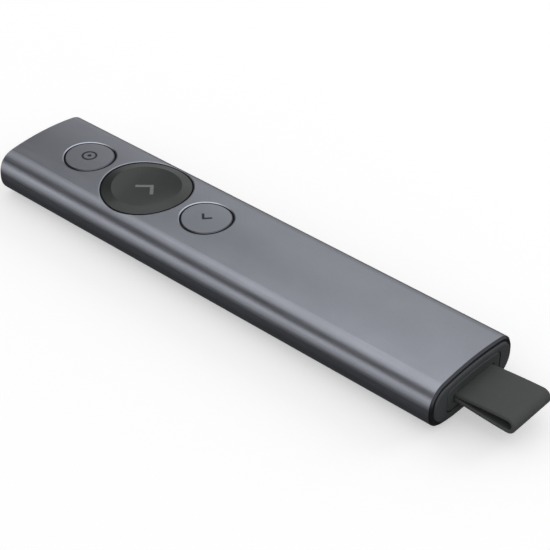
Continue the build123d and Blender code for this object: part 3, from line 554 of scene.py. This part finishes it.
def chevron(first, tip, last, stroke):
    """Columns of a mitred stroke from first to tip to last, given as (x, y) points."""
    points = [Vector(first), Vector(tip), Vector(last)]
    ahead = (points[1] - points[0]).normalized()
    onward = (points[2] - points[1]).normalized()
    sides = [Vector((-ahead.y, ahead.x)), Vector((-onward.y, onward.x))]
    corner = (sides[0] + sides[1]).normalized()
    corner /= corner.dot(sides[0])
    columns = []
    for arm, (start, stop) in enumerate(((0, 1), (1, 2))):
        for step in range(arm, CHEVRON_STEPS + 1):
            share = step / CHEVRON_STEPS
            middle = points[start].lerp(points[stop], share)
            width = sides[0].lerp(corner, share) if arm == 0 else corner.lerp(sides[1], share)
            columns.append([tuple(middle + width * stroke * offset) for offset in STROKE_OFFSETS])
    return columns


def ring(middle, radius, stroke, steps):
    """Columns of a round stroke."""
    columns = []
    for step in range(steps):
        angle = 2 * math.pi * step / steps
        way = Vector((math.cos(angle), math.sin(angle)))
        reaches = [radius + stroke * offset for offset in STROKE_OFFSETS]
        columns.append([tuple(Vector(middle) + way * reach) for reach in reaches])
    return columns


def make_icons():
    """The printed signs: two chevrons, and a ring with a dot in it."""
    light = moulded("icon_light", (0.20, 0.22, 0.20), 0.45)
    dark = moulded("icon_dark", (0.010, 0.011, 0.018), 0.5)
    next_columns = chevron(*NEXT_CHEVRON, NEXT_STROKE)
    back_columns = chevron(*BACK_CHEVRON, BACK_STROKE)
    drape("next_chevron", next_columns, False, "next_cap", light)
    drape("back_chevron", back_columns, False, "back_cap", dark)
    drape("pointer_ring", ring(TARGET_MIDDLE, *TARGET_RING), True, "pointer_cap", dark)
    drape("pointer_dot", ring(TARGET_MIDDLE, *TARGET_DOT), True, "pointer_cap", dark)


# ---- Gap shades: near-black rings of painted shade in the gap round each button -----------------
GAP_SHADE_CLEARANCE = 0.04 * MM         # from the cap, which slides past
GAP_SHADE_LIPS = {"pointer": 0.05 * MM, "next": 0.12 * MM, "back": 0.05 * MM}    # out over the bevel
GAP_SHADE_INSET = 0.02 * MM             # from the hole's wall, on either side of it
GAP_SHADE_RISE = 0.008 * MM             # above the bevel
GAP_SHADE_DEPTH = 0.9 * MM
GAP_SHADE_STEPS = 96


def make_gap_shades():
    """Turn a near-black ring's section round each button, at the height of the sleeve's crown: painted
    shade that fills the gap.
    """
    # Painted shade: a near-black ring fills each gap, where the real gap is dark with shade.
    gap_shade_finish = moulded("gap_shade_black", (0.004, 0.004, 0.006), 0.8, Specular_IOR_Level=0.15)
    sleeve = surface_of("housing_sleeve")
    for button, lip in GAP_SHADE_LIPS.items():
        low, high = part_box(button + "_cap")
        middle = (low + high) / 2
        cap_radius = (high.y - low.y) / 2
        hole_radius = cap_radius + BUTTON_GAP
        rim = cap_radius + GAP_SHADE_CLEARANCE
        vertices = []
        for step in range(GAP_SHADE_STEPS):
            angle = 2 * math.pi * step / GAP_SHADE_STEPS
            way = Vector((math.cos(angle), math.sin(angle), 0))
            outer = middle + way * (hole_radius + lip)
            inner = middle + way * (hole_radius + GAP_SHADE_INSET)
            outer_height = height_below(sleeve, outer.x, outer.y, high.z + MM)
            inner_height = height_below(sleeve, inner.x, inner.y, high.z + MM)
            section = (
                (hole_radius + lip, outer_height + GAP_SHADE_RISE),
                (hole_radius + GAP_SHADE_INSET, inner_height + GAP_SHADE_RISE),
                (rim, inner_height - 2 * GAP_SHADE_RISE),
                (rim, inner_height - GAP_SHADE_DEPTH),
                (hole_radius - GAP_SHADE_INSET, inner_height - GAP_SHADE_DEPTH),
                (hole_radius + lip, outer_height - GAP_SHADE_RISE),
            )
            vertices += [(middle.x + way.x * reach, middle.y + way.y * reach, z) for reach, z in section]
        faces = joined_sections(GAP_SHADE_STEPS, len(section), True)
        new_piece(button + "_gap_shade", vertices, faces, gap_shade_finish, "housing", False)


# ---- Flags: cards that only reflections see, as round any metal that is photographed on white ----
FLAG_STEPS = 48

# Curved cards round the stage: bearings from +X towards +Y and angles above the floor, both in
# degrees, then the brightness and the radius.
RING_FLAGS = {
    "left_horizon_flag": ((110, 200), (0, 17.5), 0.93, 1.6),
    "rear_horizon_flag": ((58, 110), (0, 19), 0.05, 1.6),
    "right_horizon_flag": ((-15, 58), (0, 19), 0.44, 1.6),
    "back_flag": ((108, 172), (17.5, 48), 0.04, 1.5),
    "rear_flag": ((72, 108), (19, 48), 0.28, 1.5),
    "dusk_flag": ((54, 72), (19, 48), 0.09, 1.5),
    "twilight_flag": ((42, 54), (19, 49), 0.33, 1.5),
    "right_flag": ((-15, 42), (19, 51), 0.66, 1.5),
    "tail_flag": ((172, 345), (0, 42), 0.5, 1.5),
}

# Cards that lie round the remote: their reach beyond its left, its right and both its ends, then
# the height above the floor and the brightness. A reach below zero stays short of that side, and
# the higher cards hide the lower ones.
FLOOR_FLAGS = {
    "near_floor_flag": (16 * MM, 60 * MM, 60 * MM, 0.04 * MM, 0.055),
    "right_floor_flag": (-20 * MM, 900 * MM, 900 * MM, 0.03 * MM, 0.34),
    "wide_floor_flag": (900 * MM, 900 * MM, 900 * MM, 0.02 * MM, 0.50),
}


def make_flag(name, vertices, faces, brightness):
    """A grey card that shows in the metal's reflections, and neither to the camera nor as shade."""
    mesh = bpy.data.meshes.new(name)
    mesh.from_pydata(vertices, [], faces)
    material, tree = bare_material(name)
    glow = add_node(tree, "ShaderNodeEmission", {"Color": (brightness, brightness, brightness, 1)})
    add_node(tree, "ShaderNodeOutputMaterial", {"Surface": glow.outputs[0]})
    mesh.materials.append(material)
    flag = bpy.data.objects.new(name, mesh)
    bpy.context.scene.collection.objects.link(flag)
    flag.visible_camera = False
    flag.visible_diffuse = False
    flag.visible_shadow = False
    flag.visible_transmission = False


def make_ring_flag(name, bearings, climbs, brightness, radius):
    """A card that stands round the stage, between two bearings and two angles above the floor."""
    first, last = bearings
    vertices = []
    for step in range(FLAG_STEPS + 1):
        bearing = math.radians(first + (last - first) * step / FLAG_STEPS)
        for climb in climbs:
            height = radius * math.tan(math.radians(climb))
            vertices.append((radius * math.cos(bearing), radius * math.sin(bearing), height))
    faces = [(2 * step, 2 * step + 1, 2 * step + 3, 2 * step + 2) for step in range(FLAG_STEPS)]
    make_flag(name, vertices, faces, brightness)


def make_floor_flag(name, beyond_left, beyond_right, beyond_ends, height, brightness):
    """A card that lies on the floor round the remote."""
    low, high = cad_box
    left = low.x - beyond_left
    right = high.x + beyond_right
    tail = low.y - beyond_ends
    nose = high.y + beyond_ends
    corners = [(left, tail, height), (right, tail, height), (right, nose, height), (left, nose, height)]
    make_flag(name, corners, [(0, 1, 2, 3)], brightness)


# ---- The scene ----------------------------------------------------------------------------------
bpy.context.scene.view_settings.view_transform = "Standard"
make_camera()
finishes = dress_nodes()
make_strap(finishes["strap_rubber"])
make_icons()
make_gap_shades()
make_floor()
make_world()
for flag_name, flag_row in RING_FLAGS.items():
    make_ring_flag(flag_name, *flag_row)
for flag_name, flag_row in FLOOR_FLAGS.items():
    make_floor_flag(flag_name, *flag_row)
make_softbox()
